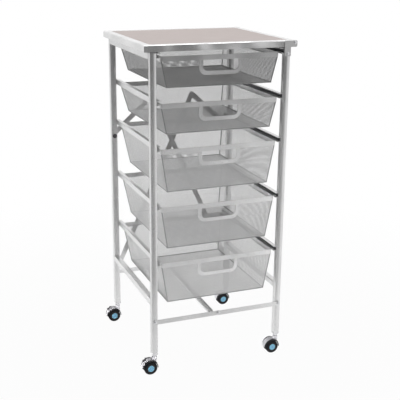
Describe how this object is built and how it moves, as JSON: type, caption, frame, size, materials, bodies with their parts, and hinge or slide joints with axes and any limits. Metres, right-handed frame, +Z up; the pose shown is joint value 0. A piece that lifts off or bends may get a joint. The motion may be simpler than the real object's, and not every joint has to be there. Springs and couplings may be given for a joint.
{
  "type": "rolling drawer cart",
  "caption": "Tall rolling cart with a square tube frame, mesh drawers on side runners, a hinged wood-panel top, a rear scissor brace and swivel casters with brakes.",
  "frame": {"origin": "on the floor under the middle of the whole cart's box", "axes": "+Z up, -Y the front where the drawers open, +X to the right seen from the front"},
  "size_m": [0.4392, 0.3952, 0.91],
  "materials": {
    "frame_paint": "satin silver-grey powder coat",
    "top_rim_paint": "satin light silver powder coat",
    "drawer_paint": "satin silver powder coat",
    "mesh_paint": "silver powder coat on expanded metal",
    "wood_panel": "matte taupe wood grain",
    "bright_steel": "bright rivet steel",
    "chrome_stem": "polished",
    "hood_plastic": "silvery clear moulded plastic with black guards",
    "grey_plastic": "grey moulded plastic",
    "dark_plastic": "dark moulded plastic",
    "tyre_black": "black tread",
    "hub_blue": "sky blue gloss"
  },
  "bodies": {
    "frame": {"left_front_post": "frame_paint", "left_rear_post": "frame_paint", "right_front_post": "frame_paint", "right_rear_post": "frame_paint", "left_side_bars": "frame_paint", "right_side_bars": "frame_paint", "left_runners": "frame_paint", "right_runners": "frame_paint", "post_plugs": "grey_plastic", "hinge_brackets": "frame_paint", "hinge_pins": "bright_steel", "front_bar": "frame_paint", "rear_bar": "frame_paint", "centre_strut": "frame_paint", "brace_strips": "frame_paint", "brace_links": "frame_paint", "rivets": "bright_steel", "pivot_caps": "dark_plastic"},
    "top": {"top_frame": "top_rim_paint", "top_panel": "wood_panel"},
    "drawer_1": {"drawer_1_rim": "drawer_paint", "drawer_1_basket": "mesh_paint", "drawer_1_handle": "drawer_paint"},
    "drawer_2": {"drawer_2_rim": "drawer_paint", "drawer_2_basket": "mesh_paint", "drawer_2_handle": "drawer_paint"},
    "drawer_3": {"drawer_3_rim": "drawer_paint", "drawer_3_basket": "mesh_paint", "drawer_3_handle": "drawer_paint"},
    "drawer_4": {"drawer_4_rim": "drawer_paint", "drawer_4_basket": "mesh_paint", "drawer_4_handle": "drawer_paint"},
    "drawer_5": {"drawer_5_rim": "drawer_paint", "drawer_5_basket": "mesh_paint", "drawer_5_handle": "drawer_paint"},
    "swivel_fl": {"caster_fl_stem": "chrome_stem", "caster_fl_hood": "hood_plastic", "caster_fl_axle": "bright_steel"},
    "wheels_fl": {"caster_fl_wheels": "tyre_black", "caster_fl_hubs": "hub_blue"},
    "swivel_fr": {"caster_fr_stem": "chrome_stem", "caster_fr_hood": "hood_plastic", "caster_fr_axle": "bright_steel"},
    "wheels_fr": {"caster_fr_wheels": "tyre_black", "caster_fr_hubs": "hub_blue"},
    "swivel_rl": {"caster_rl_stem": "chrome_stem", "caster_rl_hood": "hood_plastic", "caster_rl_axle": "bright_steel"},
    "wheels_rl": {"caster_rl_wheels": "tyre_black", "caster_rl_hubs": "hub_blue"},
    "swivel_rr": {"caster_rr_stem": "chrome_stem", "caster_rr_hood": "hood_plastic", "caster_rr_axle": "bright_steel"},
    "wheels_rr": {"caster_rr_wheels": "tyre_black", "caster_rr_hubs": "hub_blue"},
    "brake_fl": {"brake_fl": "dark_plastic"},
    "brake_rl": {"brake_rl": "dark_plastic"}
  },
  "joints": [
    {"name": "top_hinge", "type": "hinge", "parent": "frame", "child": "top", "pos_m": [0.2131, 0, 0.9045], "axis": [0, 1, 0], "range_deg": [0, 270]},
    {"name": "drawer_1_slide", "type": "slide", "parent": "frame", "child": "drawer_1", "axis": [0, -1, 0], "range_m": [0, 0.29]},
    {"name": "drawer_2_slide", "type": "slide", "parent": "frame", "child": "drawer_2", "axis": [0, -1, 0], "range_m": [0, 0.29]},
    {"name": "drawer_3_slide", "type": "slide", "parent": "frame", "child": "drawer_3", "axis": [0, -1, 0], "range_m": [0, 0.29]},
    {"name": "drawer_4_slide", "type": "slide", "parent": "frame", "child": "drawer_4", "axis": [0, -1, 0], "range_m": [0, 0.29]},
    {"name": "drawer_5_slide", "type": "slide", "parent": "frame", "child": "drawer_5", "axis": [0, -1, 0], "range_m": [0, 0.29]},
    {"name": "swivel_fl_turn", "type": "hinge", "parent": "frame", "child": "swivel_fl", "pos_m": [-0.1824, -0.1835, 0.05], "axis": [0, 0, 1], "continuous": true},
    {"name": "wheels_fl_roll", "type": "hinge", "parent": "swivel_fl", "child": "wheels_fl", "pos_m": [-0.1959, -0.1835, 0.019], "axis": [0, 1, 0], "continuous": true},
    {"name": "swivel_fr_turn", "type": "hinge", "parent": "frame", "child": "swivel_fr", "pos_m": [0.1926, -0.1835, 0.05], "axis": [0, 0, 1], "continuous": true},
    {"name": "wheels_fr_roll", "type": "hinge", "parent": "swivel_fr", "child": "wheels_fr", "pos_m": [0.1791, -0.1835, 0.019], "axis": [0, 1, 0], "continuous": true},
    {"name": "swivel_rl_turn", "type": "hinge", "parent": "frame", "child": "swivel_rl", "pos_m": [-0.1824, 0.1835, 0.05], "axis": [0, 0, 1], "continuous": true},
    {"name": "wheels_rl_roll", "type": "hinge", "parent": "swivel_rl", "child": "wheels_rl", "pos_m": [-0.1959, 0.1835, 0.019], "axis": [0, 1, 0], "continuous": true},
    {"name": "swivel_rr_turn", "type": "hinge", "parent": "frame", "child": "swivel_rr", "pos_m": [0.1926, 0.1835, 0.05], "axis": [0, 0, 1], "continuous": true},
    {"name": "wheels_rr_roll", "type": "hinge", "parent": "swivel_rr", "child": "wheels_rr", "pos_m": [0.1791, 0.1835, 0.019], "axis": [0, 1, 0], "continuous": true},
    {"name": "brake_fl_press", "type": "hinge", "parent": "swivel_fl", "child": "brake_fl", "pos_m": [-0.2054, -0.1835, 0.0437], "axis": [0, 1, 0], "range_deg": [0, 18]},
    {"name": "brake_rl_press", "type": "hinge", "parent": "swivel_rl", "child": "brake_rl", "pos_m": [-0.2054, 0.1835, 0.0437], "axis": [0, 1, 0], "range_deg": [0, 18]}
  ]
}
